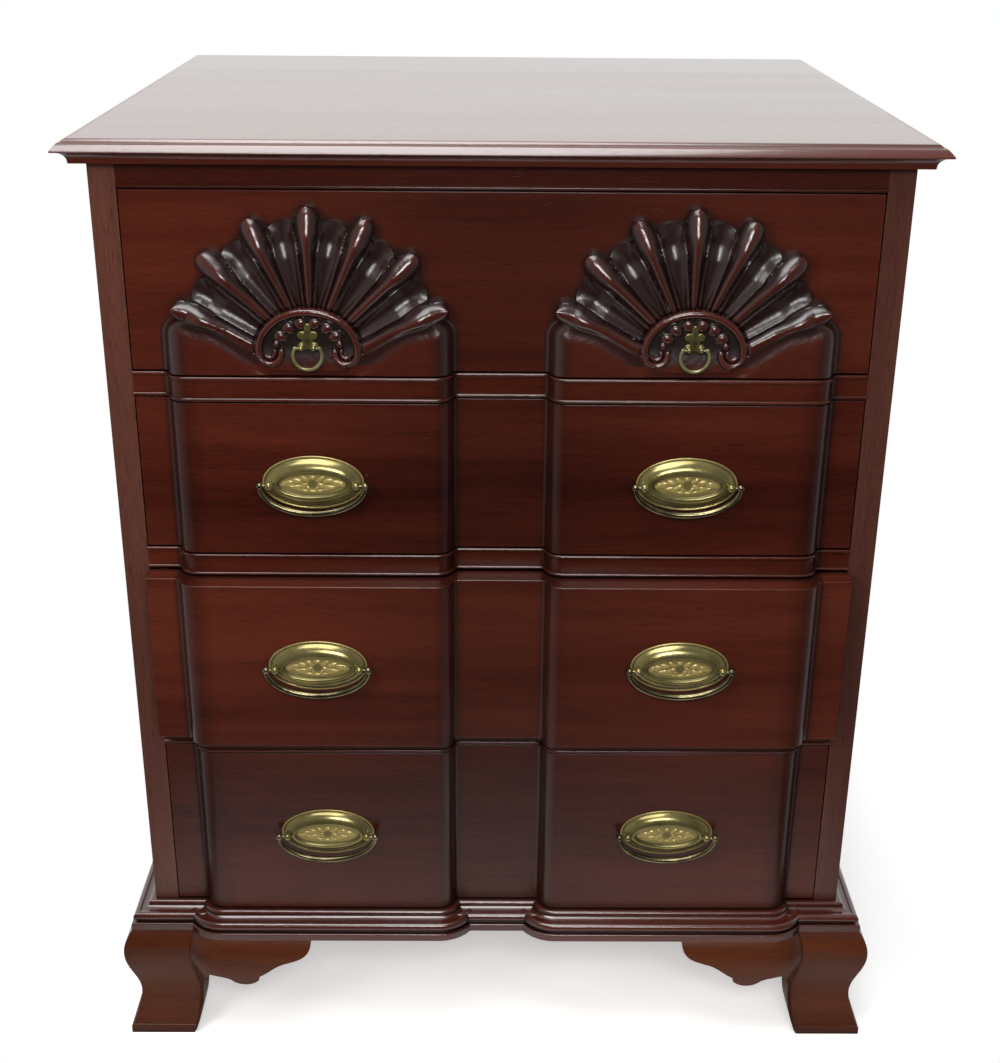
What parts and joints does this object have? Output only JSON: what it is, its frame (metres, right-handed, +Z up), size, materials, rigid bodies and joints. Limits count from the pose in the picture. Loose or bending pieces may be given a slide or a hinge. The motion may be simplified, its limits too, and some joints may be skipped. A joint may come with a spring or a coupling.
{
  "type": "block front chest of drawers",
  "caption": "Mahogany block front chest of drawers with two carved shells, oval brass bail pulls and ogee bracket feet.",
  "frame": {"origin": "centre of the bounding box in plan, on the floor under the feet", "axes": "+Z up, -Y towards the drawer fronts, +X to the right seen from the front"},
  "size_m": [0.7232, 0.6388, 0.87],
  "materials": {
    "front_mahogany": "dark red-brown mahogany under semi-gloss lacquer",
    "top_mahogany": "red-brown mahogany under clear semi-gloss lacquer",
    "inner_wood": "pale secondary wood, unfinished",
    "plate_brass": "aged olive-gold brass, satin",
    "bail_brass": "dark patinated brass, worn bright on top",
    "screw_steel": "plain steel wood screws"
  },
  "bodies": {
    "case": {"back_panel": "inner_wood", "base_moulding_front": "front_mahogany", "base_moulding_left": "front_mahogany", "base_moulding_right": "front_mahogany", "base_rail": "front_mahogany", "case_bottom": "inner_wood", "case_screws": "screw_steel", "case_side_left": "front_mahogany", "case_side_right": "front_mahogany", "divider_1": "front_mahogany", "divider_2": "front_mahogany", "divider_3": "front_mahogany", "drawer_runners": "inner_wood", "drawer_stops": "inner_wood", "dust_panels": "inner_wood", "foot_glue_blocks": "inner_wood", "front_foot_left": "front_mahogany", "front_foot_right": "front_mahogany", "front_stile_left": "front_mahogany", "front_stile_right": "front_mahogany", "rear_foot_left": "front_mahogany", "rear_foot_right": "front_mahogany", "top_board": "top_mahogany", "top_kickers": "inner_wood", "top_rail": "front_mahogany"},
    "drawer_4": {"drawer_4_back": "inner_wood", "drawer_4_bottom": "inner_wood", "drawer_4_front": "front_mahogany", "drawer_4_pull_plates": "plate_brass", "drawer_4_pull_posts": "plate_brass", "drawer_4_sides": "inner_wood"},
    "drawer_4_bail_left": {"drawer_4_bail_left": "bail_brass"},
    "drawer_4_bail_right": {"drawer_4_bail_right": "bail_brass"},
    "drawer_3": {"drawer_3_back": "inner_wood", "drawer_3_bottom": "inner_wood", "drawer_3_front": "front_mahogany", "drawer_3_pull_plates": "plate_brass", "drawer_3_pull_posts": "plate_brass", "drawer_3_sides": "inner_wood"},
    "drawer_3_bail_left": {"drawer_3_bail_left": "bail_brass"},
    "drawer_3_bail_right": {"drawer_3_bail_right": "bail_brass"},
    "drawer_2": {"drawer_2_back": "inner_wood", "drawer_2_bottom": "inner_wood", "drawer_2_front": "front_mahogany", "drawer_2_pull_plates": "plate_brass", "drawer_2_pull_posts": "plate_brass", "drawer_2_sides": "inner_wood"},
    "drawer_2_bail_left": {"drawer_2_bail_left": "bail_brass"},
    "drawer_2_bail_right": {"drawer_2_bail_right": "bail_brass"},
    "drawer_1": {"drawer_1_back": "inner_wood", "drawer_1_bottom": "inner_wood", "drawer_1_front": "front_mahogany", "drawer_1_pull_plates": "plate_brass", "drawer_1_pull_posts": "plate_brass", "drawer_1_sides": "inner_wood", "shell_block_left": "front_mahogany", "shell_block_right": "front_mahogany"},
    "drawer_1_bail_left": {"drawer_1_bail_left": "bail_brass"},
    "drawer_1_bail_right": {"drawer_1_bail_right": "bail_brass"}
  },
  "joints": [
    {"name": "drawer_4_slide", "type": "slide", "parent": "case", "child": "drawer_4", "axis": [0, -1, 0], "range_m": [0, 0.33]},
    {"name": "drawer_4_bail_left_hinge", "type": "hinge", "parent": "drawer_4", "child": "drawer_4_bail_left", "pos_m": [-0.16, -0.2936, 0.2292], "axis": [-1, 0, 0], "range_deg": [0, 165]},
    {"name": "drawer_4_bail_right_hinge", "type": "hinge", "parent": "drawer_4", "child": "drawer_4_bail_right", "pos_m": [0.16, -0.2936, 0.2292], "axis": [-1, 0, 0], "range_deg": [0, 165]},
    {"name": "drawer_3_slide", "type": "slide", "parent": "case", "child": "drawer_3", "axis": [0, -1, 0], "range_m": [-0.022, 0.308]},
    {"name": "drawer_3_bail_left_hinge", "type": "hinge", "parent": "drawer_3", "child": "drawer_3_bail_left", "pos_m": [-0.16, -0.3156, 0.4178], "axis": [-1, 0, 0], "range_deg": [0, 165]},
    {"name": "drawer_3_bail_right_hinge", "type": "hinge", "parent": "drawer_3", "child": "drawer_3_bail_right", "pos_m": [0.16, -0.3156, 0.4178], "axis": [-1, 0, 0], "range_deg": [0, 165]},
    {"name": "drawer_2_slide", "type": "slide", "parent": "case", "child": "drawer_2", "axis": [0, -1, 0], "range_m": [0, 0.33]},
    {"name": "drawer_2_bail_left_hinge", "type": "hinge", "parent": "drawer_2", "child": "drawer_2_bail_left", "pos_m": [-0.16, -0.2936, 0.583], "axis": [-1, 0, 0], "range_deg": [0, 165]},
    {"name": "drawer_2_bail_right_hinge", "type": "hinge", "parent": "drawer_2", "child": "drawer_2_bail_right", "pos_m": [0.16, -0.2936, 0.583], "axis": [-1, 0, 0], "range_deg": [0, 165]},
    {"name": "drawer_1_slide", "type": "slide", "parent": "case", "child": "drawer_1", "axis": [0, -1, 0], "range_m": [0, 0.33]},
    {"name": "drawer_1_bail_left_hinge", "type": "hinge", "parent": "drawer_1", "child": "drawer_1_bail_left", "pos_m": [-0.16, -0.2876, 0.7025], "axis": [-1, 0, 0], "range_deg": [0, 165]},
    {"name": "drawer_1_bail_right_hinge", "type": "hinge", "parent": "drawer_1", "child": "drawer_1_bail_right", "pos_m": [0.16, -0.2876, 0.7025], "axis": [-1, 0, 0], "range_deg": [0, 165]}
  ]
}
